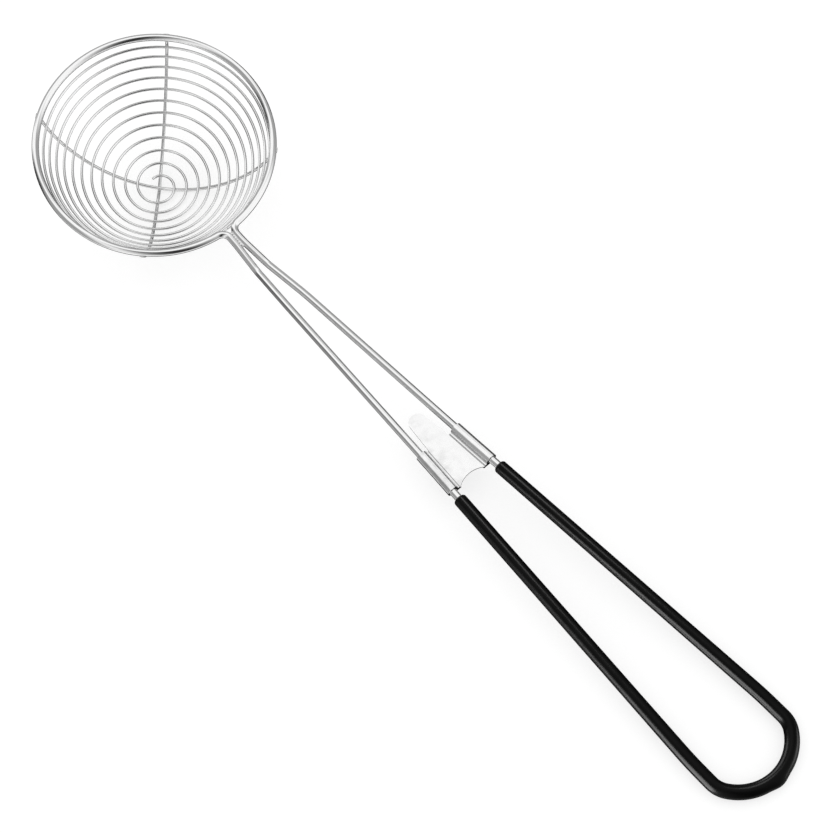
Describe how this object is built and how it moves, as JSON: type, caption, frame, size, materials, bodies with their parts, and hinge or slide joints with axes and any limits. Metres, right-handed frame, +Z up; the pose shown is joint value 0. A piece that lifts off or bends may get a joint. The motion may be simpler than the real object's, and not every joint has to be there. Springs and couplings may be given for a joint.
{
  "type": "strainer spoon",
  "caption": "Strainer spoon: a deep round bowl of spiral wire on a long wire handle with a dipped grip, for lifting food out of hot liquid.",
  "frame": {"origin": "middle of the base, on the table the spoon rests on", "axes": "+X along the handle from the bowl to the grip, +Y across, +Z up out of the bowl; the spoon lies as on a table, on the bowl's bottom and the end of the grip"},
  "size_m": [0.3984, 0.1, 0.0594],
  "materials": {
    "clip_plate": "bright polished stainless sheet",
    "cross_wire_over": "bright polished stainless wire",
    "cross_wire_under": "bright polished stainless wire",
    "frame_wire": "bright polished stainless wire",
    "handle_wire": "bright polished stainless wire",
    "spiral_wire": "bright polished stainless wire",
    "grip_coat": "satin dipped plastic"
  },
  "bodies": {
    "root": {"clip_plate": "clip_plate", "cross_wire_over": "cross_wire_over", "cross_wire_under": "cross_wire_under", "frame_wire": "frame_wire", "handle_wire": "handle_wire", "spiral_wire": "spiral_wire", "grip_coat": "grip_coat"}
  },
  "joints": []
}
